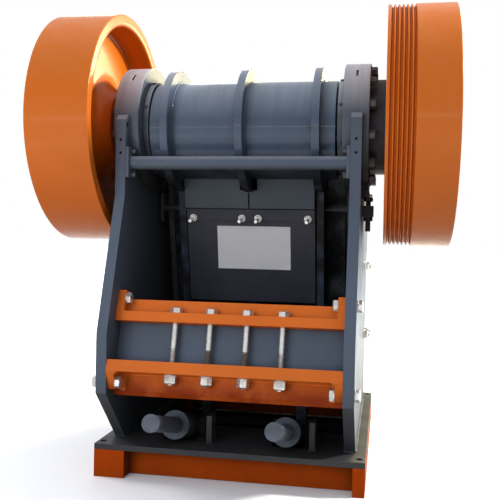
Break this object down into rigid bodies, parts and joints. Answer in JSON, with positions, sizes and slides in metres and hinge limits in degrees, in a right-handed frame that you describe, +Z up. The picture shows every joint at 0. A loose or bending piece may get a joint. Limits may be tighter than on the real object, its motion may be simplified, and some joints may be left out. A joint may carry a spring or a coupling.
{
  "type": "jaw crusher",
  "caption": "Single-toggle jaw crusher on an orange skid, seen from its toggle side, with grey side plates, orange flywheels and clamp bars and a swinging jaw on an eccentric shaft",
  "frame": {"origin": "on the ground in the middle of the four anchor bolts", "axes": "+X along the eccentric shaft towards the grooved flywheel, +Y from the toggle side towards the feed wall, +Z up"},
  "size_m": [2.183, 2.2357, 2.5528],
  "materials": {
    "orange_paint": "satin",
    "grey_paint": "satin",
    "dark_paint": "satin",
    "bare_steel": "satin",
    "manganese_cast": "matte"
  },
  "bodies": {
    "frame": {"skid_rail_left": "orange_paint", "skid_rail_right": "orange_paint", "skid_cross_rear": "orange_paint", "skid_cross_front": "orange_paint", "base_flange_left": "grey_paint", "base_flange_right": "grey_paint", "base_flange_rear": "grey_paint", "base_flange_front": "grey_paint", "side_plate_left": "grey_paint", "side_plate_right": "grey_paint", "feed_wall": "grey_paint", "feed_wall_ribs": "grey_paint", "feed_wall_posts": "grey_paint", "fixed_jaw_plate": "manganese_cast", "cheek_plate_left": "manganese_cast", "cheek_plate_right": "manganese_cast", "bearing_housing_left": "grey_paint", "bearing_housing_right": "grey_paint", "bearing_cover_left": "dark_paint", "bearing_cover_right": "dark_paint", "shaft_seal_left": "grey_paint", "shaft_seal_right": "grey_paint", "hold_down_left": "dark_paint", "hold_down_right": "dark_paint", "tie_pipe": "grey_paint", "toggle_plate": "bare_steel", "toggle_beam": "grey_paint", "clamp_bar_upper": "orange_paint", "clamp_bar_lower": "orange_paint", "clamp_studs": "bare_steel", "end_bolts": "bare_steel", "tension_rod_left": "bare_steel", "tension_rod_right": "bare_steel", "spring_housing_left": "grey_paint", "spring_housing_right": "grey_paint", "rod_bracket_left": "grey_paint", "rod_bracket_right": "grey_paint"},
    "rotor": {"eccentric_shaft": "bare_steel", "flywheel_left": "orange_paint", "flywheel_right": "orange_paint", "wheel_cap_left": "dark_paint", "wheel_cap_right": "dark_paint"},
    "pitman": {"pitman": "grey_paint", "pitman_cross_bar": "grey_paint", "pitman_back_plate": "grey_paint", "guard_plate": "dark_paint", "moving_jaw_plate": "manganese_cast"}
  },
  "joints": [
    {"name": "shaft_spin", "type": "hinge", "parent": "frame", "child": "rotor", "pos_m": [0, -0.34, 1.903], "axis": [1, 0, 0], "continuous": true},
    {"name": "pitman_ride", "type": "hinge", "parent": "rotor", "child": "pitman", "pos_m": [0, -0.34, 1.888], "axis": [1, 0, 0], "continuous": true}
  ],
  "couplings": [
    {"joint": "pitman_ride", "follows": "shaft_spin", "ratio": -1}
  ]
}
